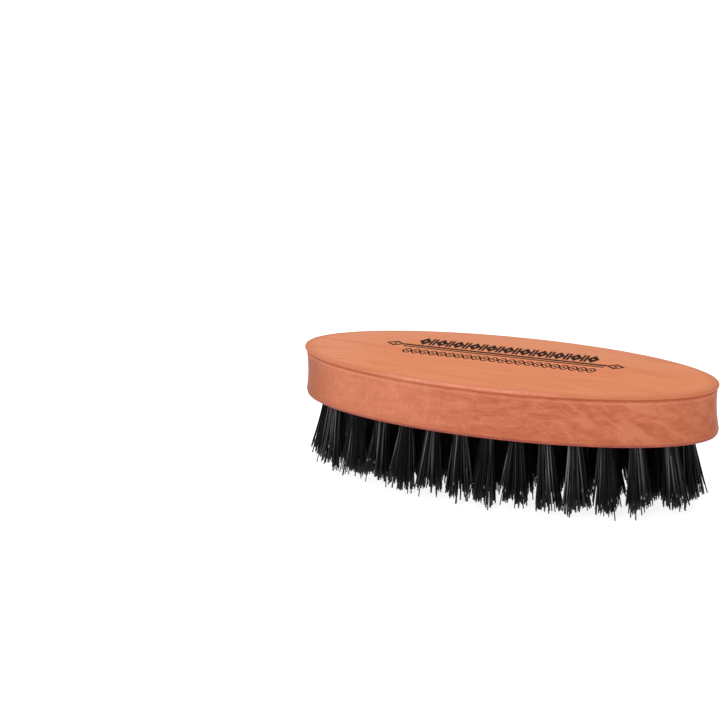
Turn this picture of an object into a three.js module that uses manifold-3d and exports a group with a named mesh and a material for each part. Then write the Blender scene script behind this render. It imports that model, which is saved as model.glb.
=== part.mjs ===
// Travel-size beard brush: a one-piece oval pear-wood back with blind holes
// drilled in its underside, and one boar-bristle tuft set in each hole.
// Millimetres. The tips of the bristles lie in the plane z = 0, +X runs along
// the oval, +Y across it and +Z points out of the flat back.

import * as THREE from 'three';
import { mergeVertices } from 'three/addons/utils/BufferGeometryUtils.js';
import Module from 'manifold-3d';

const wasm = await Module();
wasm.setup();

// ---- driving dimensions ----

const LENGTH = 115;          // long axis of the oval back
const WIDTH = 41;            // short axis of the oval back
const WOOD_HEIGHT = 14.4;    // underside of the wood to its flat back
const BRISTLE_LENGTH = 20.6; // underside of the wood to the longest tips

const RIM_RADIUS = 0.62;     // rolled bead around the back's edge
const CREASE_INSET = 0.4;    // groove under the bead, from the oval
const COVE_INSET = 0.6;      // deepest line of the hollowed side
const BULGE_INSET = 0.05;    // widest line low on the side
const BULGE_HEIGHT = 2.0;    // that line above the underside
const SOLE_INSET = 1.7;      // where the rounded lower edge meets the flat sole

const HOLE_RADIUS = 2.0;     // drilled tuft hole
const HOLE_DEPTH = 8.5;
// Pitch is along X, steps counts the holes each side of the middle, and ends
// are the X of the two holes on the long axis.
const OUTER_RING = { halfLength: 50.8, halfWidth: 14.4, pitch: 7.75, steps: 6, ends: [-50.8, 49] };
const INNER_RING = { halfLength: 42.2, halfWidth: 7.4, pitch: 7.4, steps: 5, ends: [-42.2, 42.2] };
const CENTRE_ROW = { pitch: 7.4, steps: 3 };
const FULL_TILT = 7.5;       // degrees of outward lean at the outer ring

const TUFT_ROOT_RADIUS = 1.65;
const TUFT_TIP_RADIUS = 3.0;
const TUFT_END_RADIUS = 2.3; // worn, rounded end of the tuft
const TUFT_END_HEIGHT = 1.2; // height of that rounding
const TUFT_PLUG = 8.0;       // length of the tuft inside its hole

const OVAL_SEGMENTS = 80;
const HOLE_SEGMENTS = 12;
const TUFT_SEGMENTS = 10;

const SOLE_Z = BRISTLE_LENGTH;
const BACK_Z = BRISTLE_LENGTH + WOOD_HEIGHT;

// ---- materials ----

const pearWood = new THREE.MeshStandardMaterial({
  name: 'pear_wood',
  color: 0xd08058,
  roughness: 0.45,
  metalness: 0,
});

const boarBristle = new THREE.MeshStandardMaterial({
  name: 'boar_bristle',
  color: 0x15120f,
  roughness: 0.55,
  metalness: 0,
});

// ---- solids for joining and cutting ----

function toSolid(geometry) {
  const bare = geometry.clone();
  bare.deleteAttribute('normal');
  bare.deleteAttribute('uv');
  const merged = mergeVertices(bare, 1e-4);
  return new wasm.Manifold(new wasm.Mesh({
    numProp: 3,
    vertProperties: new Float32Array(merged.attributes.position.array),
    triVerts: new Uint32Array(merged.index.array),
  }));
}

function toGeometry(solid) {
  const mesh = solid.getMesh();
  const geometry = new THREE.BufferGeometry();
  geometry.setAttribute('position', new THREE.BufferAttribute(mesh.vertProperties, 3));
  geometry.setIndex(new THREE.BufferAttribute(mesh.triVerts, 1));
  geometry.computeVertexNormals();
  return geometry;
}

// A lathe about +Z from (radius, height) points.
function lathe(points, segments) {
  const profile = points.map(([radius, height]) => new THREE.Vector2(radius, height));
  return new THREE.LatheGeometry(profile, segments).rotateX(Math.PI / 2);
}

// ---- the oval back ----

// The side of the back from the sole up, as (inset from the oval, height).
function sideProfile() {
  const lowerEdge = new THREE.QuadraticBezierCurve(
    new THREE.Vector2(SOLE_INSET, 0),
    new THREE.Vector2(BULGE_INSET, 0),
    new THREE.Vector2(BULGE_INSET, BULGE_HEIGHT),
  );
  const creaseHeight = WOOD_HEIGHT - 2 * RIM_RADIUS;
  const cove = new THREE.QuadraticBezierCurve(
    new THREE.Vector2(BULGE_INSET, BULGE_HEIGHT),
    new THREE.Vector2(
      2 * COVE_INSET - (BULGE_INSET + CREASE_INSET) / 2,
      (BULGE_HEIGHT + creaseHeight) / 2,
    ),
    new THREE.Vector2(CREASE_INSET, creaseHeight),
  );
  const bead = new THREE.EllipseCurve(
    RIM_RADIUS, WOOD_HEIGHT - RIM_RADIUS, RIM_RADIUS, RIM_RADIUS,
    -Math.PI * 0.75, -Math.PI * 1.5, true,
  );
  return [
    ...lowerEdge.getPoints(3),
    ...cove.getPoints(5).slice(1),
    ...bead.getPoints(6),
  ];
}

// Turns a round lathe of radius LENGTH / 2 into the oval: a point's inset from
// the round outline becomes the same inset square to the oval outline.
function roundToOval(geometry) {
  const halfLength = LENGTH / 2;
  const halfWidth = WIDTH / 2;
  const position = geometry.attributes.position;
  for (let i = 0; i < position.count; i += 1) {
    const radius = Math.hypot(position.getX(i), position.getY(i));
    const turn = Math.atan2(position.getY(i), position.getX(i));
    const inset = halfLength - radius;
    const normal = new THREE.Vector2(Math.cos(turn) / halfLength, Math.sin(turn) / halfWidth).normalize();
    const onAxis = radius < 1e-6;
    position.setX(i, onAxis ? 0 : halfLength * Math.cos(turn) - inset * normal.x);
    position.setY(i, onAxis ? 0 : halfWidth * Math.sin(turn) - inset * normal.y);
  }
  return geometry;
}

function backBlank() {
  const side = sideProfile().map((point) => [LENGTH / 2 - point.x, SOLE_Z + point.y]);
  const points = [[0, SOLE_Z], ...side, [0, BACK_Z]];
  return roundToOval(lathe(points, OVAL_SEGMENTS));
}

// ---- where the tufts stand ----

function ringSeats(ring) {
  const seats = [];
  for (let i = -ring.steps; i <= ring.steps; i += 1) {
    const x = i * ring.pitch;
    const y = ring.halfWidth * Math.sqrt(1 - (x / ring.halfLength) ** 2);
    seats.push([x, -y], [x, y]);
  }
  seats.push([ring.ends[0], 0], [ring.ends[1], 0]);
  return seats;
}

function tuftSeats() {
  const centre = [];
  for (let i = -CENTRE_ROW.steps; i <= CENTRE_ROW.steps; i += 1) {
    centre.push([i * CENTRE_ROW.pitch, 0]);
  }
  return { outer: ringSeats(OUTER_RING), inner: ringSeats(INNER_RING), centre };
}

// Puts an object at a seat on the sole, leaning outward towards its tips.
function seat(object, [x, y]) {
  const lean = Math.tan(THREE.MathUtils.degToRad(FULL_TILT));
  const down = new THREE.Vector3(
    lean * x / OUTER_RING.halfLength,
    lean * y / OUTER_RING.halfWidth,
    -1,
  ).normalize();
  object.quaternion.setFromUnitVectors(new THREE.Vector3(0, 0, -1), down);
  object.position.set(x, y, SOLE_Z);
  object.updateMatrix();
  return object;
}

function drilledBack(seats) {
  const overrun = 1;
  const drill = new THREE.CylinderGeometry(
    HOLE_RADIUS, HOLE_RADIUS, HOLE_DEPTH + overrun, HOLE_SEGMENTS,
  ).rotateX(Math.PI / 2).translate(0, 0, (HOLE_DEPTH - overrun) / 2);
  let solid = toSolid(backBlank());
  for (const place of seats) {
    const cut = seat(new THREE.Object3D(), place);
    solid = solid.subtract(toSolid(drill.clone().applyMatrix4(cut.matrix)));
  }
  return toGeometry(solid);
}

// ---- a tuft ----

// A plug inside the hole, then a bundle that flares to its worn end. Its
// length makes the lowest point of the leaning end just touch z = 0.
function tuft(name, place) {
  const mesh = seat(new THREE.Mesh(undefined, boarBristle), place);
  const down = new THREE.Vector3(0, 0, -1).applyQuaternion(mesh.quaternion);
  const upright = -down.z;
  const sideways = Math.sqrt(1 - upright * upright);
  const reach = (SOLE_Z - TUFT_END_RADIUS * sideways) / upright;
  mesh.geometry = lathe([
    [0, -reach],
    [TUFT_END_RADIUS, -reach],
    [TUFT_TIP_RADIUS, -reach + TUFT_END_HEIGHT],
    [TUFT_ROOT_RADIUS, 0],
    [TUFT_ROOT_RADIUS, TUFT_PLUG],
    [0, TUFT_PLUG],
  ], TUFT_SEGMENTS);
  mesh.name = name;
  return mesh;
}

// ---- assembly ----

const seats = tuftSeats();
const brush = new THREE.Group();

const woodBlock = new THREE.Mesh(drilledBack(Object.values(seats).flat()), pearWood);
woodBlock.name = 'wood_block';
brush.add(woodBlock);

for (const [row, places] of Object.entries(seats)) {
  places.forEach((place, index) => {
    const number = String(index + 1).padStart(2, '0');
    brush.add(tuft(`tuft_${row}_${number}`, place));
  });
}

export default brush;
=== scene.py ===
"""The looks of a travel-size beard brush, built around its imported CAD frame.

A fine mesh stands for the oval pear-wood block, one bundle of folded
bristles for each tuft, and a flat wire staple sits at the bottom of each hole.
The print on the flat back is a generic ornament.
"""
import math

import bpy
import numpy as np
from mathutils import Matrix, Vector, noise
from mathutils.geometry import delaunay_2d_cdt


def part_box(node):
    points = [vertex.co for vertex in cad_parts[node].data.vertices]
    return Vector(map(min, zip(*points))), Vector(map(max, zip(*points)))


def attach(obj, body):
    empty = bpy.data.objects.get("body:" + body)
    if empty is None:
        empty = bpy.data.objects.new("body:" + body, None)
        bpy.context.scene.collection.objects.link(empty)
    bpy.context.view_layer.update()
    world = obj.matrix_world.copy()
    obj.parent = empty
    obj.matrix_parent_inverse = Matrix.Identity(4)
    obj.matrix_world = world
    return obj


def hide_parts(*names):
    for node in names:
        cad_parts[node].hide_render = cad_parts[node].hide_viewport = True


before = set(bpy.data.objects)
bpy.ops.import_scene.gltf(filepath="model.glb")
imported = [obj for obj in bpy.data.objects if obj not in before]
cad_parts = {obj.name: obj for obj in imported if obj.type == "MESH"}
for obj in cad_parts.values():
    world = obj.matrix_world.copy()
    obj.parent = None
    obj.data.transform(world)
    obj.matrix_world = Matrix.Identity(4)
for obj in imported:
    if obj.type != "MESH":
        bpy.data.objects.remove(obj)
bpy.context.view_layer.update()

MM = 0.001

# ---- sizes, in millimetres unless they say otherwise ----

WOOD_LOW, WOOD_HIGH = (np.array(corner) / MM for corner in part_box("wood_block"))
HALF_LENGTH = (WOOD_HIGH[0] - WOOD_LOW[0]) / 2
HALF_WIDTH = (WOOD_HIGH[1] - WOOD_LOW[1]) / 2
SOLE_Z = WOOD_LOW[2]
INK_PROUD = 0.02                        # ink standing on the flat back
INK_SUNK = 0.08                         # and reaching into the wood
BACK_Z = WOOD_HIGH[2] - 0.03            # leaves room for the ink inside the CAD box
WOOD_HEIGHT = BACK_Z - SOLE_Z

RIM_RADIUS = 0.62                       # rolled bead round the back's edge
CREASE_INSET = 0.4                      # groove under the bead, from the oval
CREASE_HEIGHT = WOOD_HEIGHT - 2 * RIM_RADIUS
COVE_INSET = 0.6                        # deepest line of the hollowed side
BULGE_INSET = 0.05                      # widest line, low on the side
BULGE_HEIGHT = 2.0
SOLE_INSET = 1.7                        # where the rounded lower edge meets the sole
UNEVENNESS = 0.05                       # how far hand sanding wanders
OVAL_SEGMENTS = 480

HOLE_RADIUS = 1.95
HOLE_DEPTH = 8.3
HOLE_CHAMFER = 0.14
DRILL_POINT = 0.9                       # height of the cone that the drill leaves
HOLE_SEGMENTS = 28

PLACES_PER_TUFT = 100                   # those on one side of the middle get a folded bristle
BRISTLE_RADIUS = 0.188
BRISTLE_SIDES = 5
ROOT_SPREAD = 1.7                       # radius of the bundle at the hole's mouth
FOLD_SHARE = 0.9                        # of that radius, at the staple
TIP_SPREAD = 3.8                        # its radius at the tips
TIP_LIMIT = 4.5                         # how far a stray tip may stand from the axis
FOLD_HEIGHT = 6.9                       # top edge of the staple above the sole
MEAN_CUT = 3.6                          # how far the usual tip stops short of the floor
LEAST_CUT = 0.15                        # and the longest one
TAPER = 0.15                            # share of its thickness that a bristle loses
EDGE_ROOM = BRISTLE_RADIUS * 1.4        # keeps the thickest bristle inside the CAD box
FOLD_PART = 0.2                         # share of a bristle's steps that has no tip colour
LEG_STEPS = (0.0, 0.12, 0.3, 0.5, 0.7, 0.87, 1.0)    # shares of a bristle's length
LOWEST_TIP = 0.12                       # middle line of the lowest tip above the floor
END_TUFTS_X = 48.0                      # the two tufts at the ends stand beyond this
END_SET = 0.6                           # and their tips have set over towards -X

# How bristles differ: a name with VARIES is a standard deviation, a pair is a range.
LOCKS = 10                              # groups in a tuft whose bristles cling together
LOCK_REACH = 0.8                        # as a share of the tuft's radius
LOCK_CUT_VARIES = 0.8
MOST_TOGETHER = 0.65                    # share of the way to the middle of its lock
TUFT_SET_VARIES = 0.4
TUFT_CUT_VARIES = 0.35
TUFT_FLARE = (0.92, 1.08)
PLACE_VARIES = 0.03
FLARE_MEAN, FLARE_VARIES = 1.05, 0.06
TIP_VARIES = 0.3
CUT_VARIES = 0.5
SHORT_SHARE, SHORT_BY = 0.13, (0.6, 3.2)    # bristles cut short, with a pale end that is partly a painted glint
LONG_SHARE, LONG_BY = 0.05, (0.8, 2.6)
BEND_VARIES = 0.16
CURL_VARIES = 0.04
THICKNESS = (0.8, 1.22)
LOCK_SHINE = 0.2                        # how far a lock's bristles share one shade
SHINE_VARIES = 0.05
PALENESS = (0.1, 1.0)                   # of the ends that are cut short, partly a painted glint
INNER_BRIGHTNESS = 0.55                 # of the tufts that stand in the outer row's shade

STAPLE_LENGTH = 3.6
STAPLE_HEIGHT = 1.0
STAPLE_THICK = 0.34
STAPLE_ROUNDING = 0.08
STAPLE_BOW = 0.22
STAPLE_ROWS = 9

PRINT_CENTRE = -2.6                     # the stamp sits a little left of the middle
BOLD_Y = 8.9
BOLD_HALF = 26.1
BOLD_MOTIFS = 11
LOZENGE_HALF, LOZENGE_HOLLOW = (1.72, 2.75), (0.42, 0.6)
BAR_HALF, BAR_SHIFT = (0.34, 2.5), 0.47
RULE_ROWS = ((5.2, 0.95, 28.6), (3.85, 0.6, 28.2))    # height, stroke, half length
END_MARK = 31.0                         # from the middle of the print to its end marks
END_MARK_HALF, END_MARK_HOLLOW, END_MARK_DOT = (2.6, 1.9), (1.7, 1.1), 0.5
FINE_Y = 0.6
FINE_HALF = 27.0
FINE_PERIODS = 11
FINE_WAVE = 1.6
FINE_STROKE = 0.46
FINE_DOT = 0.45

RANDOM = np.random.default_rng(20)


# ---- node and material helpers ----

def srgb(red, green, blue):
    """A linear colour from 0-255 sRGB values."""
    def channel(value):
        value /= 255
        return value / 12.92 if value <= 0.04045 else ((value + 0.055) / 1.055) ** 2.4
    return (channel(red), channel(green), channel(blue), 1.0)


class Shader:
    """A node tree with one Principled shader, and short ways to add nodes."""

    def __init__(self, name):
        self.material = bpy.data.materials.new(name)
        self.material.use_nodes = True
        self.tree = self.material.node_tree
        self.principled = self.tree.nodes["Principled BSDF"]

    def link(self, source, target):
        self.tree.links.new(source, target)

    def add(self, kind, settings=None, **inputs):
        made = self.tree.nodes.new("ShaderNode" + kind)
        for key, value in (settings or {}).items():
            setattr(made, key, value)
        for key, value in inputs.items():
            self.set(made.inputs[key.replace("_", " ")], value)
        return made

    def set(self, socket, value):
        if isinstance(value, bpy.types.NodeSocket):
            self.link(value, socket)
        else:
            socket.default_value = value

    def math(self, operation, first, second=0.0):
        made = self.add("Math", {"operation": operation})
        self.set(made.inputs[0], first)
        self.set(made.inputs[1], second)
        return made.outputs[0]

    def millimetres(self):
        where = self.add("TexCoord").outputs["Object"]
        made = self.add("VectorMath", {"operation": "SCALE"})
        self.link(where, made.inputs[0])
        made.inputs["Scale"].default_value = 1 / MM
        return made.outputs[0]

    def product(self, first, *others):
        for other in others:
            first = self.math("MULTIPLY", first, other)
        return first

    def scaled(self, value, factor, least):
        """The value times a factor, plus the least that it may come to."""
        made = self.add("Math", {"operation": "MULTIPLY_ADD"})
        for socket, number in zip(made.inputs, (value, factor, least)):
            self.set(socket, number)
        return made.outputs[0]

    def stretched(self, vector, scale):
        return self.add("Mapping", Vector=vector, Scale=scale).outputs[0]

    def turned(self, vector, size, rotation=(0, 0, 0)):
        """Coordinates for features of a size in millimetres, along turned axes."""
        made = self.add("Mapping", {"vector_type": "TEXTURE"}, Vector=vector, Scale=size)
        made.inputs["Rotation"].default_value = [math.radians(angle) for angle in rotation]
        return made.outputs[0]

    def noise(self, vector, scale=1.0, detail=3.0, roughness=0.55, distortion=0.0):
        made = self.add(
            "TexNoise", Vector=vector, Scale=scale, Detail=detail,
            Roughness=roughness, Distortion=distortion,
        )
        return made.outputs[0]

    def ramp(self, value, *stops):
        """stops are (position, grey) or (position, colour) pairs."""
        made = self.add("ValToRGB", Fac=value)
        ramp = made.color_ramp
        while len(ramp.elements) < len(stops):
            ramp.elements.new(1.0)
        for element, (position, colour) in zip(ramp.elements, stops):
            element.position = position
            element.color = colour if isinstance(colour, tuple) else (colour,) * 3 + (1,)
        return made.outputs[0]

    def between(self, value, low, high):
        """0 at low and 1 at high, smoothly."""
        made = self.add("MapRange", {"interpolation_type": "SMOOTHSTEP"})
        self.set(made.inputs["Value"], value)
        self.set(made.inputs["From Min"], low)
        self.set(made.inputs["From Max"], high)
        return made.outputs[0]

    def mix(self, share, first, second):
        made = self.add("Mix", {"data_type": "RGBA"})
        self.set(made.inputs["Factor"], share)
        self.set(made.inputs[6], first)
        self.set(made.inputs[7], second)
        return made.outputs[2]

    def tint(self, share, mask, first, second):
        """Mixes second over first where the mask is 1, up to a share."""
        return self.mix(self.math("MULTIPLY", mask, share), first, second)

    def surface(self, colour, roughness, specular=None):
        """Colour, roughness and, where it isn't the usual one, specular level."""
        self.set(self.principled.inputs["Base Color"], colour)
        self.set(self.principled.inputs["Roughness"], roughness)
        if specular is not None:
            self.set(self.principled.inputs["Specular IOR Level"], specular)

    def bump(self, height, distance, strength):
        made = self.add("Bump", Height=height, Distance=distance, Strength=strength)
        return made.outputs[0]


def back_colour(made, place, x, y, fibre):
    """The flat back: fibre, soft growth bands, short dark dashes, a darker rim and painted
    sheen.
    """
    bands = made.noise(made.turned(place, (38, 4.5, 4.5), (0, 0, -5)), 1.0, 2.0, 0.5, 0.6)
    dashes = made.noise(made.turned(place, (5.5, 0.5, 0.5), (0, 0, -8)), 1.0, 2.0, 0.5)
    colour = made.ramp(
        fibre, (0.2, srgb(209, 122, 82)), (0.42, srgb(218, 133, 92)),
        (0.58, srgb(222, 138, 96)), (0.8, srgb(229, 147, 106)),
    )
    # Painted sheen: paler towards the far side and towards the left end.
    colour = made.tint(0.5, made.between(y, 2.0, 17.0), colour, srgb(221, 148, 115))
    colour = made.tint(0.45, made.between(x, -28.0, -54.0), colour, srgb(226, 154, 124))
    colour = made.tint(0.4, made.between(bands, 0.5, 0.68), colour, srgb(208, 120, 78))
    colour = made.tint(0.7, made.between(dashes, 0.65, 0.76), colour, srgb(172, 90, 54))
    along = made.math("DIVIDE", x, HALF_LENGTH)
    across = made.math("DIVIDE", y, HALF_WIDTH)
    outward = made.math("ADD", made.product(along, along), made.product(across, across))
    return made.tint(0.42, made.between(outward, 0.86, 0.99), colour, srgb(178, 106, 76))


def side_colour(made, place, x, mottle, streaks):
    """The side: mottle, lengthwise streaks, pale specks, figure that changes along X, painted
    light and shade.
    """
    specks = made.noise(made.turned(place, (0.9, 0.5, 0.6)), 1.0, 2.0, 0.5)
    pores = made.noise(made.turned(place, (0.8, 0.6, 0.7)), 1.0, 3.0, 0.6)
    colour = made.ramp(
        mottle, (0.3, srgb(180, 92, 60)), (0.5, srgb(196, 109, 76)), (0.7, srgb(209, 124, 90)),
    )
    colour = made.tint(0.55, made.between(streaks, 0.53, 0.68), colour, srgb(174, 84, 54))
    colour = made.tint(0.45, made.between(specks, 0.62, 0.75), colour, srgb(226, 148, 114))
    colour = made.tint(0.35, made.between(pores, 0.56, 0.7), colour, srgb(172, 84, 52))

    # Towards the right, a slanting figure.
    figure = made.noise(made.turned(place, (13, 4, 2.6), (0, 36, 0)), 1.0, 2.0, 0.5, 0.7)
    figured = made.between(x, 8.0, 34.0)
    light = made.product(made.between(figure, 0.52, 0.62), figured)
    dark = made.product(made.between(figure, 0.46, 0.36), figured)
    colour = made.tint(0.6, light, colour, srgb(210, 128, 94))
    colour = made.tint(0.5, dark, colour, srgb(178, 90, 60))

    # Towards the left, upright flecks of the medullary rays.
    flecks = made.noise(made.turned(place, (1.5, 1.5, 3.2), (0, 8, 0)), 1.0, 4.0, 0.65, 0.4)
    flecked = made.between(x, 4.0, -16.0)
    light = made.product(made.between(flecks, 0.55, 0.7), flecked)
    dark = made.product(made.between(flecks, 0.45, 0.33), flecked)
    colour = made.tint(0.45, light, colour, srgb(224, 146, 112))
    colour = made.tint(0.5, dark, colour, srgb(172, 92, 60))

    # Painted shade: darker at the two ends, most at the left end; painted light: lighter left of
    # the middle.
    colour = made.tint(0.4, made.between(x, 34.0, 57.0), colour, srgb(184, 104, 72))
    colour = made.tint(0.35, made.between(x, 5.0, -25.0), colour, srgb(222, 142, 108))
    return made.tint(0.8, made.between(x, -40.0, -57.0), colour, srgb(152, 78, 44))


def bead_and_highlight_colour(made, side, back, facing_up, height, highlit_stretch, patchiness):
    """Joins side and back at the bead, with a patchy painted highlight on the bead and the
    back's rim along the middle of the near side.
    """
    patchy = made.between(patchiness, 0.3, 0.62)
    highlit_bead = made.mix(patchy, srgb(210, 122, 92), srgb(232, 148, 120))
    on_bead = made.between(height, CREASE_HEIGHT + 0.3, CREASE_HEIGHT + 0.5)
    bead = made.mix(highlit_stretch, srgb(208, 122, 86), highlit_bead)
    side = made.tint(0.85, on_bead, side, bead)
    highlit_back = made.mix(patchy, srgb(214, 126, 94), srgb(232, 146, 118))
    highlit_rim = made.product(highlit_stretch, made.between(facing_up, 0.998, 0.97))
    back = made.tint(0.8, highlit_rim, back, highlit_back)
    colour = made.mix(made.between(facing_up, 0.35, 0.9), side, back)

    # A broken dark line where the bead turns into the flat back, along the painted highlight.
    below_top = made.math("ABSOLUTE", made.math("SUBTRACT", height, WOOD_HEIGHT - 0.05))
    top_line = made.product(
        made.between(below_top, 0.09, 0.02), highlit_stretch, made.between(patchiness, 0.35, 0.6),
        made.between(facing_up, 0.999, 0.985),
    )
    return made.tint(0.5, top_line, colour, srgb(172, 92, 60))


def groove_and_edge_shading(made, colour, height, highlit_stretch, patchiness):
    """Painted shade in the groove under the bead and along the lower edge, and a painted
    highlight just under the groove.
    """
    # Painted shade in the groove, weaker where the bead has its painted highlight.
    off_crease = made.math("ABSOLUTE", made.math("SUBTRACT", height, CREASE_HEIGHT - 0.05))
    off_highlight = made.math("SUBTRACT", 1.0, made.product(highlit_stretch, 0.4))
    groove = made.product(
        made.between(off_crease, 0.55, 0.22), made.between(patchiness, 0.1, 0.5), off_highlight,
    )
    colour = made.tint(0.92, groove, colour, srgb(168, 84, 52))
    # A painted highlight just under the groove.
    under = made.math("ABSOLUTE", made.math("SUBTRACT", height, CREASE_HEIGHT - 1.0))
    colour = made.tint(0.3, made.between(under, 0.45, 0.1), colour, srgb(224, 144, 112))
    # Painted shade: darker low on the side, darkest at the rounded lower edge.
    colour = made.tint(0.3, made.between(height, 3.0, 1.4), colour, srgb(168, 80, 48))
    edge = made.product(made.between(height, 1.4, 0.9), made.between(patchiness, 0.2, 0.5))
    return made.tint(0.75, edge, colour, srgb(144, 68, 58))


def wood_material():
    """Stained pear wood: fine fibre along X on the back, redder and mottled side."""
    made = Shader("stained_pear_wood")
    place = made.millimetres()
    x, y, z = made.add("SeparateXYZ", Vector=place).outputs
    height = made.math("SUBTRACT", z, SOLE_Z)
    normal = made.add("NewGeometry").outputs["Normal"]
    facing_up = made.add("SeparateXYZ", Vector=normal).outputs["Z"]

    fibre = made.noise(made.turned(place, (17, 0.9, 0.9), (0, 0, -2)), 1.0, 6.0, 0.62, 0.3)
    mottle = made.noise(made.turned(place, (6.5, 2.4, 1.9)), 1.0, 6.0, 0.68, 0.6)
    streaks = made.noise(made.turned(place, (5.0, 0.9, 0.75), (0, 2, 0)), 1.0, 4.0, 0.6, 0.4)
    patchiness = made.noise(made.turned(place, (2.2, 2.2, 1.6)), 1.0, 3.0, 0.6)
    # Where the bead and the back's rim get a painted highlight: the middle stretch of the near
    # (-Y) side.
    highlit_stretch = made.product(
        made.between(x, -36.0, -20.0), made.between(x, 26.0, 12.0), made.between(y, 0.0, -6.0),
    )

    back = back_colour(made, place, x, y, fibre)
    side = side_colour(made, place, x, mottle, streaks)
    colour = bead_and_highlight_colour(made, side, back, facing_up, height, highlit_stretch, patchiness)
    colour = groove_and_edge_shading(made, colour, height, highlit_stretch, patchiness)
    made.surface(colour, made.scaled(mottle, 0.16, 0.42), 0.15)

    grain = made.math("ADD", fibre, made.product(streaks, 0.5))
    made.link(made.bump(grain, 0.035 * MM, 0.6), made.principled.inputs["Normal"])
    return made.material


def bristle_material():
    """Boar bristle: near black with lighter bristles as painted highlights, browner at the tips,
    pale cut ends partly painted glints.
    """
    made = Shader("boar_bristle")
    shade, tip, pale = (
        made.add("Attribute", {"attribute_name": label}).outputs["Fac"]
        for label in ("shade", "tip", "pale")
    )
    streak = made.noise(made.stretched(made.millimetres(), (3.0, 3.0, 0.25)), 1.0, 3.0)
    # The lighter bristles are painted highlights.
    body = made.ramp(
        shade, (0.0, srgb(3, 3, 3)), (0.44, srgb(7, 6, 7)), (0.57, srgb(32, 31, 34)),
        (0.75, srgb(76, 74, 79)), (0.92, srgb(134, 131, 136)),
    )
    body = made.tint(0.3, streak, body, srgb(8, 8, 8))
    body = made.tint(0.75, made.between(tip, 0.55, 0.85), body, srgb(10, 8, 8))
    # Pale cut ends: partly their own paler split ends, partly painted glints.
    cut_end = made.mix(pale, srgb(16, 12, 11), srgb(180, 174, 162))
    body = made.tint(0.9, made.between(tip, 0.93, 0.98), body, cut_end)
    made.surface(body, made.scaled(streak, 0.2, 0.3), 0.14)
    return made.material


def staple_material():
    """Drawn flat wire with fine lengthwise scratches."""
    made = Shader("staple_wire")
    scratch = made.noise(made.stretched(made.millimetres(), (0.6, 9.0, 9.0)), 1.0, 3.0)
    colour = made.ramp(scratch, (0.3, srgb(150, 148, 142)), (0.7, srgb(190, 187, 178)))
    made.surface(colour, made.ramp(scratch, (0.3, 0.28), (0.7, 0.42)))
    made.principled.inputs["Metallic"].default_value = 1.0
    return made.material


def ink_material():
    """Dark brown stamped ink, thinner in places so that the wood warms it."""
    made = Shader("print_ink")
    wear = made.noise(made.millimetres(), 1.6, 4.0, 0.65)
    colour = made.ramp(
        wear, (0.4, srgb(34, 21, 16)), (0.62, srgb(46, 30, 22)), (0.8, srgb(92, 58, 40)),
    )
    made.surface(colour, made.ramp(wear, (0.3, 0.5), (0.7, 0.65)), 0.1)
    return made.material


# ---- mesh helpers ----

def mesh_piece(name, vertices, faces, material, smooth_angle=None):
    """An object in metres from millimetre vertices, shaded smooth up to an angle."""
    mesh = bpy.data.meshes.new(name)
    mesh.from_pydata((np.asarray(vertices) * MM).tolist(), [], faces)
    mesh.materials.append(material)
    mesh.update()
    mesh.polygons.foreach_set("use_smooth", [smooth_angle is not None] * len(mesh.polygons))
    if smooth_angle is not None:
        mesh.set_sharp_from_angle(angle=math.radians(smooth_angle))
    piece = bpy.data.objects.new(name, mesh)
    bpy.context.collection.objects.link(piece)
    return piece


def keep(piece, slot, *nodes):
    """Every piece rides on the one body and hides the CAD nodes that it replaces; slot is not
    used.
    """
    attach(piece, "root")
    if nodes:
        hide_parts(*nodes)


def bezier(first, second, third, count):
    """Points of a quadratic curve, without its first one."""
    t = np.linspace(0, 1, count + 1)[1:, None]
    first, second, third = (np.array(point, float) for point in (first, second, third))
    return (1 - t) ** 2 * first + 2 * t * (1 - t) * second + t ** 2 * third


# ---- the wooden back ----

def oval_angles(count):
    """Angles that divide the oval into steps of equal length."""
    angle = np.linspace(0, 2 * math.pi, 20001)
    step = np.hypot(HALF_LENGTH * np.sin(angle), HALF_WIDTH * np.cos(angle))
    walked = np.concatenate([[0], np.cumsum((step[1:] + step[:-1]) / 2)])
    return np.interp(np.arange(count) / count * walked[-1], walked, angle)


def side_profile():
    """The side from the sole up, as (inset from the oval, height) rows."""
    lower = bezier((SOLE_INSET, 0), (BULGE_INSET, 0), (BULGE_INSET, BULGE_HEIGHT), 12)
    cove = bezier(
        (BULGE_INSET, BULGE_HEIGHT),
        (2 * COVE_INSET - (BULGE_INSET + CREASE_INSET) / 2, (BULGE_HEIGHT + CREASE_HEIGHT) / 2),
        (CREASE_INSET, CREASE_HEIGHT), 24,
    )
    turn = np.radians(np.linspace(-135, -270, 15))
    bead = np.stack([
        RIM_RADIUS + RIM_RADIUS * np.cos(turn),
        WOOD_HEIGHT - RIM_RADIUS + RIM_RADIUS * np.sin(turn),
    ], axis=1)
    return np.concatenate([[(SOLE_INSET, 0)], lower, cove, bead])


def sanded(points, inset):
    """Insets with hand-sanded unevenness and small dents, nearly always inwards."""
    moved = np.empty(len(points))
    for index, point in enumerate(points):
        wave = noise.noise(Vector(point) * 0.11) + 0.4 * noise.noise(Vector(point) * 0.5)
        moved[index] = inset + UNEVENNESS * (0.8 + wave)
    return moved


def oval_ring(angles, inset, z):
    normal = np.stack([np.cos(angles) / HALF_LENGTH, np.sin(angles) / HALF_WIDTH], axis=1)
    normal /= np.linalg.norm(normal, axis=1)[:, None]
    outline = np.stack([HALF_LENGTH * np.cos(angles), HALF_WIDTH * np.sin(angles)], axis=1)
    flat = outline - np.reshape(inset, (-1, 1)) * normal
    return np.column_stack([flat, np.full(len(angles), z)])


def tuft_axes(axis):
    """Two directions square to a tuft's axis; the first lies towards -X."""
    across = Vector((0, 1, 0)).cross(axis).normalized()
    return across, axis.cross(across)


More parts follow.
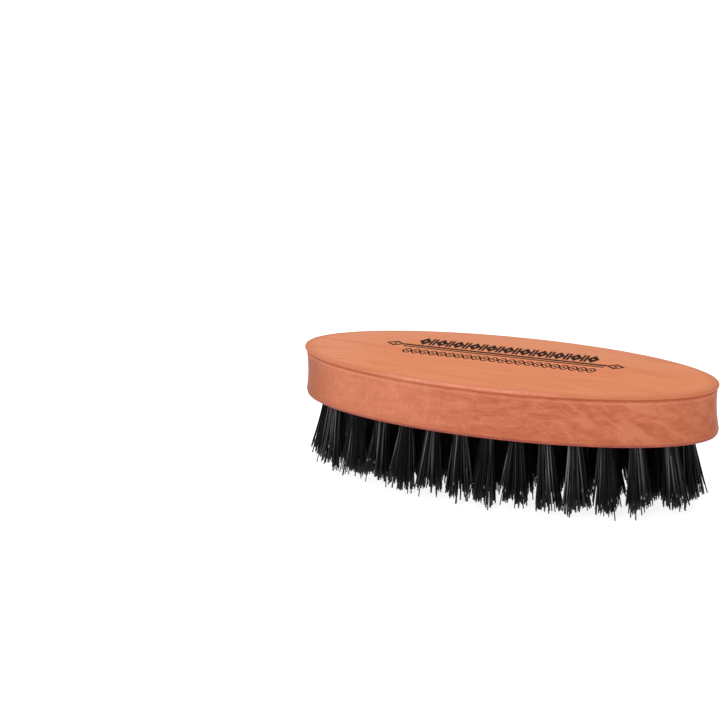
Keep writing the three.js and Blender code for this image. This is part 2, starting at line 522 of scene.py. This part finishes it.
def hole_ring(seat, axis, radius, depth):
    """A ring round a leaning hole, cut level where depth is 0."""
    across = Vector((1, 0, 0)).cross(axis).normalized()
    along = axis.cross(across)
    ring = []
    for step in range(HOLE_SEGMENTS):
        turn = 2 * math.pi * step / HOLE_SEGMENTS
        point = seat + radius * (math.cos(turn) * along + math.sin(turn) * across) - depth * axis
        if depth == 0:
            point = point + axis * ((point.z - SOLE_Z) / -axis.z)
        ring.append(tuple(point))
    return ring


def add_side_and_top(vertices, faces):
    """The walls of the oval from the sole to the bead, and the flat back as one face."""
    angles = oval_angles(OVAL_SEGMENTS)
    for inset, height in side_profile():
        level = oval_ring(angles, inset, SOLE_Z + height)
        vertices.extend(oval_ring(angles, sanded(level, inset), SOLE_Z + height).tolist())
    last = len(vertices) - OVAL_SEGMENTS
    for low in range(0, last, OVAL_SEGMENTS):
        high = low + OVAL_SEGMENTS
        for step in range(OVAL_SEGMENTS):
            after = (step + 1) % OVAL_SEGMENTS
            faces.append((low + step, low + after, high + after, high + step))
    faces.append(tuple(range(last, last + OVAL_SEGMENTS)))


def add_pierced_sole(vertices, faces, seats):
    """The flat sole, pierced by the mouths of the holes; gives the mouths' vertices."""
    mouths = []
    for seat, axis in seats:
        mouths.append(range(len(vertices), len(vertices) + HOLE_SEGMENTS))
        vertices.extend(hole_ring(seat, axis, HOLE_RADIUS + HOLE_CHAMFER, 0))
    loops = []
    border = []
    for indices in [range(OVAL_SEGMENTS)] + mouths:
        loops.append(range(len(border), len(border) + len(indices)))
        border.extend(indices)
    edges = [(loop[i - 1], loop[i]) for loop in loops for i in range(len(loop))]
    flat = [Vector(vertices[index][:2]) for index in border]
    _, _, triangles, origin, _, _ = delaunay_2d_cdt(flat, edges, [], 0, 1e-6)
    centres = np.array([tuple(seat)[:2] for seat, _ in seats])
    for triangle in triangles:
        corners = [border[origin[corner][0]] for corner in triangle]
        middle = np.mean([vertices[corner][:2] for corner in corners], axis=0)
        if np.min(np.linalg.norm(centres - middle, axis=1)) > HOLE_RADIUS:
            faces.append(tuple(reversed(corners)))
    return mouths


def add_hole(vertices, faces, seat, axis, mouth):
    """The walls of a hole, down to the cone that the drill leaves."""
    rings = [list(mouth)]
    for depth in (HOLE_CHAMFER, HOLE_DEPTH / 2, HOLE_DEPTH):
        rings.append(list(range(len(vertices), len(vertices) + HOLE_SEGMENTS)))
        vertices.extend(hole_ring(seat, axis, HOLE_RADIUS, depth))
    for lower, upper in zip(rings, rings[1:]):
        for i in range(HOLE_SEGMENTS):
            faces.append((lower[i - 1], upper[i - 1], upper[i], lower[i]))
    vertices.append(tuple(seat - (HOLE_DEPTH + DRILL_POINT) * axis))
    for i in range(HOLE_SEGMENTS):
        faces.append((rings[-1][i - 1], len(vertices) - 1, rings[-1][i]))


def wooden_back(seats, material):
    vertices = []
    faces = []
    add_side_and_top(vertices, faces)
    mouths = add_pierced_sole(vertices, faces, seats)
    for (seat, axis), mouth in zip(seats, mouths):
        add_hole(vertices, faces, seat, axis, mouth)
    return mesh_piece("wooden_back", vertices, faces, material, 40)


# ---- where the tufts stand ----

def seat_of(node):
    """The middle of a tuft on the sole and the way it points, from its CAD solid."""
    # The plug's far end lies deep in the wood, and one ring of points in the sole.
    points = np.array([vertex.co for vertex in node.data.vertices]) / MM
    plug = points[points[:, 2] > SOLE_Z + 4].mean(axis=0)
    root = points[np.abs(points[:, 2] - SOLE_Z) < 1].mean(axis=0)
    axis = Vector(root - plug).normalized()
    return Vector(root), axis


# ---- bristles ----

def tubes(paths, radii):
    """Closed tapering tubes round paths of shape (count, points, 3)."""
    count, steps, _ = paths.shape
    tangent = np.gradient(paths, axis=1)
    tangent /= np.linalg.norm(tangent, axis=2, keepdims=True)
    side = np.cross(tangent[:, 0], (0.3, 1.0, 0.1))
    turn = 2 * math.pi * np.arange(BRISTLE_SIDES) / BRISTLE_SIDES
    rings = []
    for step in range(steps):
        along = tangent[:, step]
        side = side - np.sum(side * along, axis=1, keepdims=True) * along
        side /= np.linalg.norm(side, axis=1, keepdims=True)
        other = np.cross(along, side)
        reach = radii[:, step, None, None]
        rings.append(paths[:, step, None] + reach * (
            np.cos(turn)[None, :, None] * side[:, None]
            + np.sin(turn)[None, :, None] * other[:, None]
        ))
    body = np.stack(rings, axis=1).reshape(count, steps * BRISTLE_SIDES, 3)
    ends = np.stack([
        paths[:, 0] - tangent[:, 0] * radii[:, :1] * 0.3,
        paths[:, -1] + tangent[:, -1] * radii[:, -1:] * 0.3,
    ], axis=1)
    vertices = np.concatenate([body, ends], axis=1)
    pattern = []
    for step in range(steps - 1):
        for i in range(BRISTLE_SIDES):
            after = (i + 1) % BRISTLE_SIDES
            low = step * BRISTLE_SIDES
            high = low + BRISTLE_SIDES
            pattern.append((low + i, low + after, high + after, high + i))
    last = (steps - 1) * BRISTLE_SIDES
    caps = []
    for i in range(BRISTLE_SIDES):
        after = (i + 1) % BRISTLE_SIDES
        caps.append((after, i, steps * BRISTLE_SIDES))
        caps.append((last + i, last + after, steps * BRISTLE_SIDES + 1))
    size = vertices.shape[1]
    faces = []
    for tube in range(count):
        shift = tube * size
        faces.extend(tuple(corner + shift for corner in face) for face in pattern + caps)
    return vertices.reshape(-1, 3), faces


def leg(mouth, tip, length, bend, curl):
    """One visible end of a bristle, from the mouth of the hole to its tip."""
    share = np.array(LEG_STEPS)
    out = mouth + (tip - mouth) * (0.8 * share + 0.2 * share ** 2)[:, None]
    out += bend * (share ** 2 * (1.6 - share))[:, None]
    out += curl * np.sin(share * 5.2)[:, None] * share[:, None]
    return np.column_stack([out, length * share])


def folded(seat):
    """The bend of a bristle over the staple, between its two legs."""
    along, apart = seat * ROOT_SPREAD * FOLD_SHARE
    return np.array([
        (along, apart, -FOLD_HEIGHT + 0.3),
        (along, apart * 0.72, -FOLD_HEIGHT - apart * 0.4),
        (along, 0.0, -FOLD_HEIGHT - apart * 0.6),
        (along, -apart * 0.72, -FOLD_HEIGHT - apart * 0.4),
        (along, -apart, -FOLD_HEIGHT + 0.3),
    ])


def even_places():
    """Places spread evenly over one half of a disc of radius 1."""
    golden = math.pi * (3 - math.sqrt(5))
    order = np.arange(PLACES_PER_TUFT)
    reach = np.sqrt((order + 0.5) / len(order))
    turn = order * golden
    places = np.stack([reach * np.cos(turn), reach * np.sin(turn)], axis=1)
    return places[places[:, 1] > 0]


def bristle_paths(floor_reach, pushed):
    """Folded bristles in a tuft's own frame: across, across, and down from the sole.

    A tip that goes down as far as floor_reach touches the floor, and the tips of
    the whole tuft are pushed so far towards -X. Also gives how light each bristle
    is painted along its length, its lighter ones as painted highlights, and how
    pale its cut ends are, partly as painted glints.
    """
    # The locks, and the way the whole tuft has set.
    lock_place = RANDOM.uniform(-LOCK_REACH, LOCK_REACH, (LOCKS, 2))
    lock_cut = RANDOM.normal(0, LOCK_CUT_VARIES, LOCKS)
    lock_shade = RANDOM.random(LOCKS)
    set_over = RANDOM.normal(0, TUFT_SET_VARIES, 2) + (pushed, 0)
    flare = RANDOM.uniform(*TUFT_FLARE)
    tuft_cut = RANDOM.normal(0, TUFT_CUT_VARIES)

    def end(place):
        """One end of a bristle: its leg, its shade and how pale its cut is."""
        place /= max(1.0, np.linalg.norm(place))
        lock = int(np.argmin(np.sum((lock_place - place) ** 2, axis=1)))
        together = RANDOM.uniform(0.0, MOST_TOGETHER)
        gathered = place + (lock_place[lock] - place) * together
        tip = gathered * TIP_SPREAD * flare * RANDOM.normal(FLARE_MEAN, FLARE_VARIES)
        tip = tip + set_over + RANDOM.normal(0, TIP_VARIES, 2)
        tip *= min(1.0, TIP_LIMIT / np.linalg.norm(tip))
        cut = floor_reach - MEAN_CUT + tuft_cut + lock_cut[lock] + RANDOM.normal(0, CUT_VARIES)
        short = RANDOM.random() < SHORT_SHARE
        if short:
            cut -= RANDOM.uniform(*SHORT_BY)
        if RANDOM.random() < LONG_SHARE:
            cut += RANDOM.uniform(*LONG_BY)
        cut = min(cut, floor_reach - LEAST_CUT)
        bend = RANDOM.normal(0, BEND_VARIES, 2)
        curl = RANDOM.normal(0, CURL_VARIES, 2)
        path = leg(place * ROOT_SPREAD, tip, cut, bend, curl)
        # A lighter shine gives a painted highlight along the bristle.
        shine = LOCK_SHINE * lock_shade[lock] + (1 - LOCK_SHINE) * RANDOM.random()
        shine += RANDOM.normal(0, SHINE_VARIES)
        pale = RANDOM.uniform(*PALENESS) if short else 0.0
        return path, np.full(len(path), shine), np.full(len(path), pale)

    paths = []
    shades = []
    pales = []
    for seat in even_places():
        (first, *first_looks), (second, *second_looks) = (
            end(seat * (1, side) + RANDOM.normal(0, PLACE_VARIES, 2)) for side in (1, -1)
        )
        fold = folded(seat)
        paths.append(np.concatenate([first[::-1], fold, second]))
        for values, before, after in zip((shades, pales), first_looks, second_looks):
            values.append(np.concatenate([before, np.zeros(len(fold)), after]))
    return np.array(paths), np.clip(shades, 0, 1), np.array(pales)


def per_vertex(along):
    """Spreads values given at each step of each bristle to the tubes' vertices."""
    around = np.repeat(along, BRISTLE_SIDES, axis=1)
    return np.concatenate([around, along[:, [0, -1]]], axis=1).ravel()


def bristle_tuft(name, seat, axis, material, brightest):
    """The bristles of one tuft, kept above the floor and inside the oval's box."""
    frame_of_tuft = np.array([tuple(way) for way in (*tuft_axes(axis), axis)])
    pushed = END_SET if abs(seat.x) > END_TUFTS_X else 0.0
    local, shades, pales = bristle_paths(SOLE_Z / -axis.z, pushed)
    paths = local @ frame_of_tuft + np.array(seat)
    paths[..., 2] = np.maximum(paths[..., 2], LOWEST_TIP)
    for side, reach in enumerate((HALF_LENGTH, HALF_WIDTH)):
        limit = reach - EDGE_ROOM
        paths[..., side] = np.clip(paths[..., side], -limit, limit)
    depth = np.clip(local[..., 2] / SOLE_Z, 0, 1)
    thick = BRISTLE_RADIUS * RANDOM.uniform(*THICKNESS, (len(paths), 1))
    radii = thick * (1 - TAPER * depth ** 1.5)
    vertices, faces = tubes(paths, radii)
    piece = mesh_piece(name, vertices, faces, material, 180)
    end_to_end = np.abs(np.linspace(-1, 1, paths.shape[1]))
    towards_tip = np.clip((end_to_end - FOLD_PART) / (1 - FOLD_PART), 0, 1)
    for label, values in (
        ("shade", brightest * per_vertex(shades)),
        ("pale", brightest * per_vertex(pales)),
        ("tip", per_vertex(np.tile(towards_tip, (len(paths), 1)))),
    ):
        layer = piece.data.attributes.new(label, "FLOAT", "POINT")
        layer.data.foreach_set("value", values.astype(np.float32))
    return piece


# ---- staples ----

def staple_section():
    """The flat wire's outline, (thickness, height) pairs with its corners taken off."""
    half_thick = STAPLE_THICK / 2
    half_high = STAPLE_HEIGHT / 2
    cut_thick = half_thick - STAPLE_ROUNDING
    cut_high = half_high - STAPLE_ROUNDING
    return [
        (half_thick, -cut_high), (half_thick, cut_high),
        (cut_thick, half_high), (-cut_thick, half_high),
        (-half_thick, cut_high), (-half_thick, -cut_high),
        (-cut_thick, -half_high), (cut_thick, -half_high),
    ]


def staple(name, seat, axis, material):
    """A short piece of flat wire on edge across the hole, bowed as it was driven."""
    across, other = tuft_axes(axis)
    section = staple_section()
    vertices = []
    for share in np.linspace(-1, 1, STAPLE_ROWS).tolist():
        bow = STAPLE_BOW * (1 - share ** 2)
        for thick, high in section:
            down = -(FOLD_HEIGHT - STAPLE_HEIGHT / 2) - high - bow
            point = seat + across * (share * STAPLE_LENGTH / 2) + other * thick + axis * down
            vertices.append(tuple(point))
    size = len(section)
    last = (STAPLE_ROWS - 1) * size
    faces = []
    for low in range(0, last, size):
        for i in range(size):
            after = (i + 1) % size
            faces.append((low + i, low + size + i, low + size + after, low + after))
    faces.append(tuple(range(size)))
    faces.append(tuple(reversed(range(last, last + size))))
    return mesh_piece(name, vertices, faces, material, 30)


# ---- the printed ornament ----

class Ink:
    """Thin closed prisms of ink on the flat back."""

    def __init__(self):
        self.vertices = []
        self.faces = []

    def prism(self, loop):
        start = len(self.vertices)
        size = len(loop)
        for z in (BACK_Z - INK_SUNK, BACK_Z + INK_PROUD):
            self.vertices.extend((x, y, z) for x, y in loop)
        self.faces.append(tuple(start + i for i in reversed(range(size))))
        self.faces.append(tuple(start + size + i for i in range(size)))
        for i in range(size):
            after = (i + 1) % size
            self.faces.append((start + i, start + after, start + size + after, start + size + i))

    def band(self, inner, outer):
        """A closed band between two loops with the same number of points."""
        size = len(outer)
        start = len(self.vertices)
        for z in (BACK_Z - INK_SUNK, BACK_Z + INK_PROUD):
            self.vertices.extend((x, y, z) for x, y in outer)
            self.vertices.extend((x, y, z) for x, y in inner)
        low_out, low_in, high_out, high_in = (start + size * part for part in range(4))
        for i in range(size):
            j = (i + 1) % size
            self.faces.append((high_out + i, high_out + j, high_in + j, high_in + i))
            self.faces.append((low_out + j, low_out + i, low_in + i, low_in + j))
            self.faces.append((low_out + i, low_out + j, high_out + j, high_out + i))
            self.faces.append((low_in + j, low_in + i, high_in + i, high_in + j))

    def ribbon(self, centre, width):
        """A stroke of even width along a line of points."""
        centre = np.array(centre)
        direction = np.gradient(centre, axis=0)
        direction /= np.linalg.norm(direction, axis=1)[:, None]
        normal = np.stack([-direction[:, 1], direction[:, 0]], axis=1)
        half = np.reshape(width, (-1, 1)) / 2 * normal
        left, right = centre + half, centre - half
        self.prism(np.concatenate([right, left[::-1]]).tolist())


def lozenge(x, y, half_x, half_y):
    return [(x + half_x, y), (x, y + half_y), (x - half_x, y), (x, y - half_y)]


def disc(x, y, radius, count):
    turn = [2 * math.pi * i / count for i in range(count)]
    return [(x + radius * math.cos(a), y + radius * math.sin(a)) for a in turn]


def rectangle(x, y, half_x, half_y):
    return [(x - half_x, y - half_y), (x + half_x, y - half_y),
            (x + half_x, y + half_y), (x - half_x, y + half_y)]


def bold_border(ink):
    """Hollow lozenges in a row, with two bars between each and the next."""
    pitch = 2 * BOLD_HALF / BOLD_MOTIFS
    for i in range(BOLD_MOTIFS):
        x = PRINT_CENTRE - BOLD_HALF + (i + 0.5) * pitch
        ink.band(lozenge(x, BOLD_Y, *LOZENGE_HOLLOW), lozenge(x, BOLD_Y, *LOZENGE_HALF))
        if i < BOLD_MOTIFS - 1:
            for shift in (-BAR_SHIFT, BAR_SHIFT):
                ink.prism(rectangle(x + pitch / 2 + shift, BOLD_Y, *BAR_HALF))


def rules(ink):
    """Two straight rules, with a hollow lozenge and a dot past each end."""
    for y, stroke, half in RULE_ROWS:
        ink.prism(rectangle(PRINT_CENTRE, y, half, stroke / 2))
    y = RULE_ROWS[0][0]
    for side in (-1, 1):
        x = PRINT_CENTRE + side * END_MARK
        ink.band(lozenge(x, y, *END_MARK_HOLLOW), lozenge(x, y, *END_MARK_HALF))
        ink.prism(disc(x, y, END_MARK_DOT, 12))


def plait(ink):
    """Two waves that cross, with a dot in each loop between them."""
    along = np.linspace(-FINE_HALF, FINE_HALF, FINE_PERIODS * 14 + 1)
    turn = (along + FINE_HALF) / FINE_HALF * math.pi * FINE_PERIODS
    for sign in (-1, 1):
        wave = FINE_Y + sign * FINE_WAVE * np.sin(turn)
        ink.ribbon(np.stack([PRINT_CENTRE + along, wave], axis=1), FINE_STROKE)
    for i in range(2 * FINE_PERIODS):
        x = PRINT_CENTRE - FINE_HALF + (i + 0.5) * FINE_HALF / FINE_PERIODS
        ink.prism(disc(x, FINE_Y, FINE_DOT, 10))


def printed_ornament(material):
    """A bold border of lozenges and bars over two rules, and a fine plait below."""
    ink = Ink()
    bold_border(ink)
    rules(ink)
    plait(ink)
    return mesh_piece("printed_ornament", ink.vertices, ink.faces, material)


# ---- build the brush ----

wood = wood_material()
bristle = bristle_material()
wire = staple_material()
print_ink = ink_material()

tuft_nodes = sorted(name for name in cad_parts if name.startswith("tuft_"))
tuft_seats = {name: seat_of(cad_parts[name]) for name in tuft_nodes}

keep(wooden_back(list(tuft_seats.values()), wood), "pear_wood", "wood_block")
keep(printed_ornament(print_ink), "print_ink")
for node_name, (tuft_seat, tuft_axis) in tuft_seats.items():
    place = node_name.removeprefix("tuft_")
    brightest = 1.0 if place.startswith("outer") else INNER_BRIGHTNESS
    tuft = bristle_tuft(f"bristles_{place}", tuft_seat, tuft_axis, bristle, brightest)
    keep(tuft, "boar_bristle", node_name)
    keep(staple(f"staple_{place}", tuft_seat, tuft_axis, wire), "staple_wire")


# ---- studio ----

def floor():
    """A pale floor that glows a little, so that it comes out plain white."""
    made = Shader("studio_floor")
    soft = made.noise(made.add("TexCoord").outputs["Object"], 3.0, 2.0)
    made.surface(made.ramp(soft, (0.3, 0.43), (0.7, 0.45)), 0.8)
    made.principled.inputs["Emission Color"].default_value = (1, 1, 1, 1)
    made.principled.inputs["Emission Strength"].default_value = 0.87
    reach = 4000
    corners = [(-reach, -reach, 0), (reach, -reach, 0), (reach, reach, 0), (-reach, reach, 0)]
    mesh_piece("studio_floor", corners, [(0, 1, 2, 3)], made.material)


def area_light(name, place, target, size, watts):
    light = bpy.data.lights.new(name, "AREA")
    light.shape = "RECTANGLE"
    light.size, light.size_y = size
    light.energy = watts
    lamp = bpy.data.objects.new(name, light)
    lamp.location = place
    lamp.rotation_euler = (Vector(target) - Vector(place)).to_track_quat("-Z", "Y").to_euler()
    bpy.context.collection.objects.link(lamp)


def studio():
    floor()
    world = bpy.data.worlds.new("studio_world")
    world.use_nodes = True
    backdrop = world.node_tree.nodes["Background"]
    backdrop.inputs["Color"].default_value = (1, 1, 1, 1)
    backdrop.inputs["Strength"].default_value = 0.28
    bpy.context.scene.world = world
    middle = (0, 0, 0.02)
    area_light("top_softbox", (-0.1, 0.1, 1.0), middle, (1.2, 1.0), 8.6)
    area_light("key_softbox", (-0.05, -1.05, 0.7), middle, (0.5, 0.5), 4.8)
    bpy.context.scene.view_settings.view_transform = "Standard"


def camera():
    """Looks down on the brush from its near left, turned slightly, off its middle."""
    azimuth, elevation, roll = (math.radians(angle) for angle in (23.88, 19.37, -1.98))
    distance = 662.7
    aim_right, aim_up = -38.94, 13.68
    aim_height = 21.0
    back = Vector((
        math.sin(azimuth) * math.cos(elevation),
        -math.cos(azimuth) * math.cos(elevation),
        math.sin(elevation),
    ))
    level = Vector((math.cos(azimuth), math.sin(azimuth), 0))
    above = back.cross(level)
    right = math.cos(roll) * level + math.sin(roll) * above
    up = -math.sin(roll) * level + math.cos(roll) * above
    place = Vector((0, 0, aim_height)) + aim_right * right + aim_up * up + distance * back
    data = bpy.data.cameras.new("photo_camera")
    data.lens = 125
    data.sensor_width = 36
    data.clip_end = 50
    eye = bpy.data.objects.new("photo_camera", data)
    turn = Matrix((right, up, back)).transposed().to_4x4()
    eye.matrix_world = Matrix.Translation(place * MM) @ turn
    bpy.context.collection.objects.link(eye)
    bpy.context.scene.camera = eye


studio()
camera()
